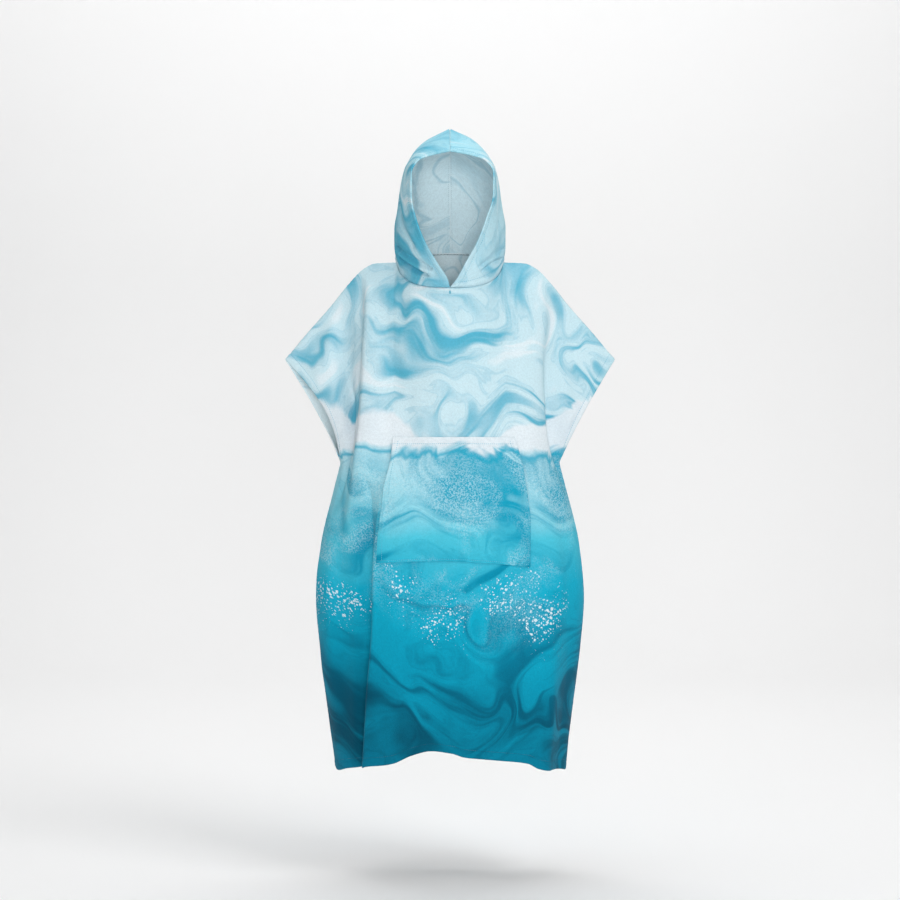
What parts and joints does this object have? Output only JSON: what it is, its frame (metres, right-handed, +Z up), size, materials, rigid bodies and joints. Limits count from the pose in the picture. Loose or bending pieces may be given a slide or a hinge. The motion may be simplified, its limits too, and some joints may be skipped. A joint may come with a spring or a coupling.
{
  "type": "hooded bath poncho",
  "caption": "Knee-length towelling poncho with a pointed hood, short sleeves cut in one with the body and a wide front pocket, filled out as worn.",
  "frame": {"origin": "between the shoulders at the base of the neck, level with the shoulder seams, where the wearer's shoulders hold it", "axes": "+Z up from hem to hood, +Y from front to back, +X to the right of someone who looks at the front"},
  "size_m": [0.726, 0.3018, 1.4053],
  "materials": {
    "body_towelling": "looped terry pile, dyed or printed outside and pale inside",
    "hood_towelling": "looped terry pile, pale aqua outside and near white inside",
    "pocket_towelling": "looped terry pile, turquoise"
  },
  "bodies": {
    "root": {"front_panel": "body_towelling", "back_panel": "body_towelling", "hood_left": "hood_towelling", "hood_right": "hood_towelling", "pocket": "pocket_towelling"}
  },
  "joints": []
}
